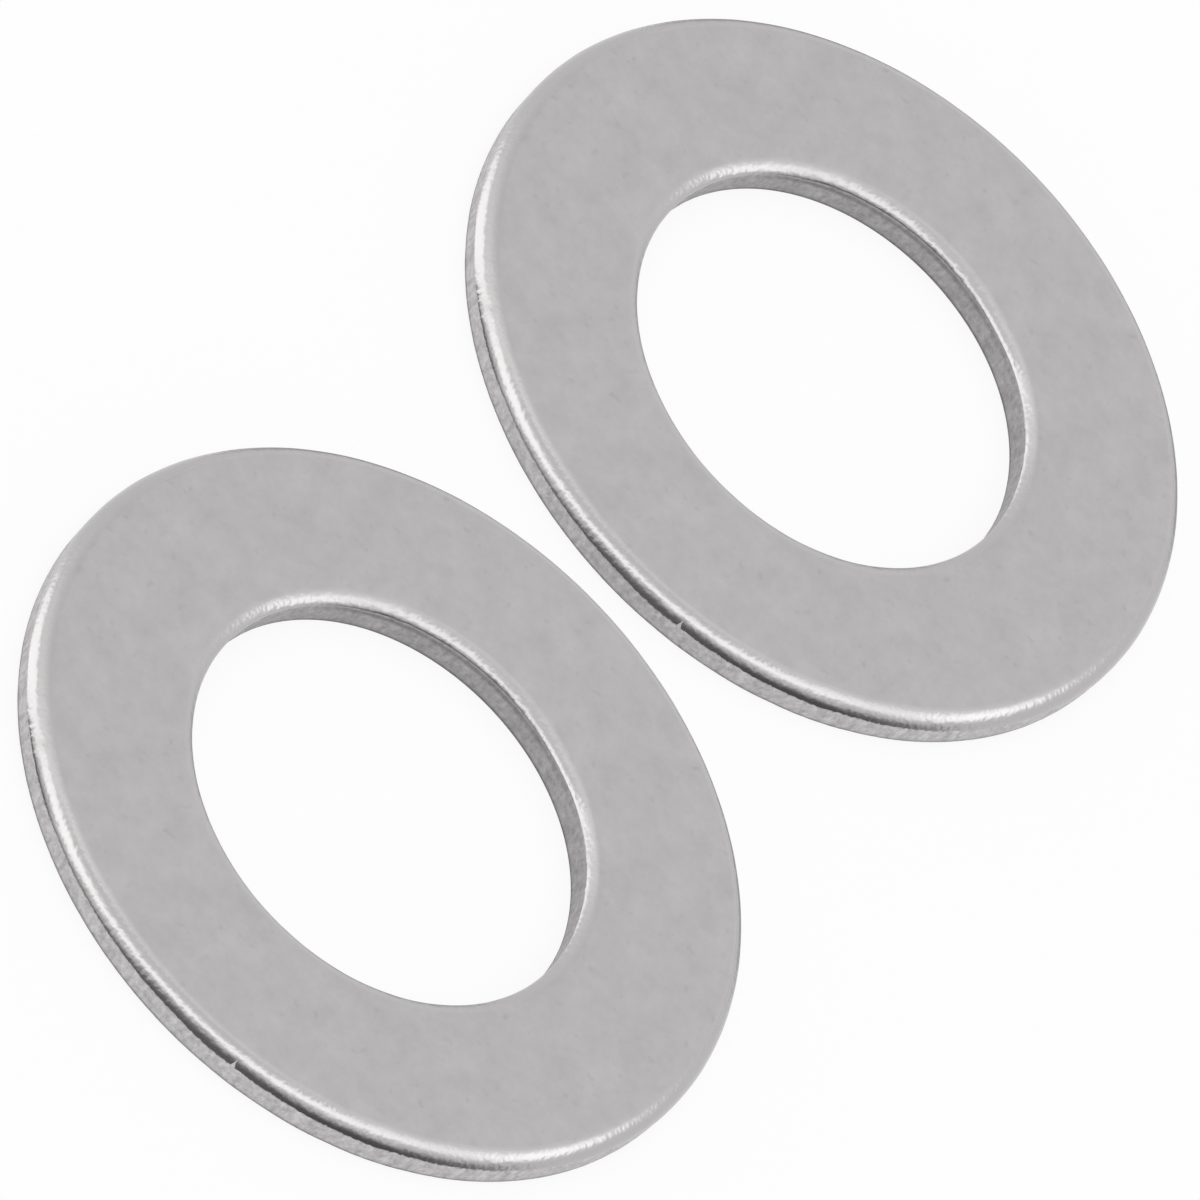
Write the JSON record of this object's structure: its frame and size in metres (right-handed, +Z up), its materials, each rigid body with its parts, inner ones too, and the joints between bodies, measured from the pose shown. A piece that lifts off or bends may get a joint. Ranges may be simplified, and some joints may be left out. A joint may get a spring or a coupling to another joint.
{
  "type": "axle washer pair",
  "caption": "Flat steel ring washers lying side by side, each with a round axle hole, softly rolled upper edges and matte sheared walls.",
  "frame": {"origin": "midway between the two washers, on the surface they lie on", "axes": "+X runs from the left washer's centre to the right washer's centre, +Z is up along both hole axes, and the rolled edges face +Z"},
  "size_m": [0.0772, 0.0372, 0.0019],
  "materials": {
    "plated_steel": "tumbled and bright zinc plated: satin face, brighter rolled edges, matte sheared walls"
  },
  "bodies": {
    "root": {"left_washer": "plated_steel", "right_washer": "plated_steel"}
  },
  "joints": []
}
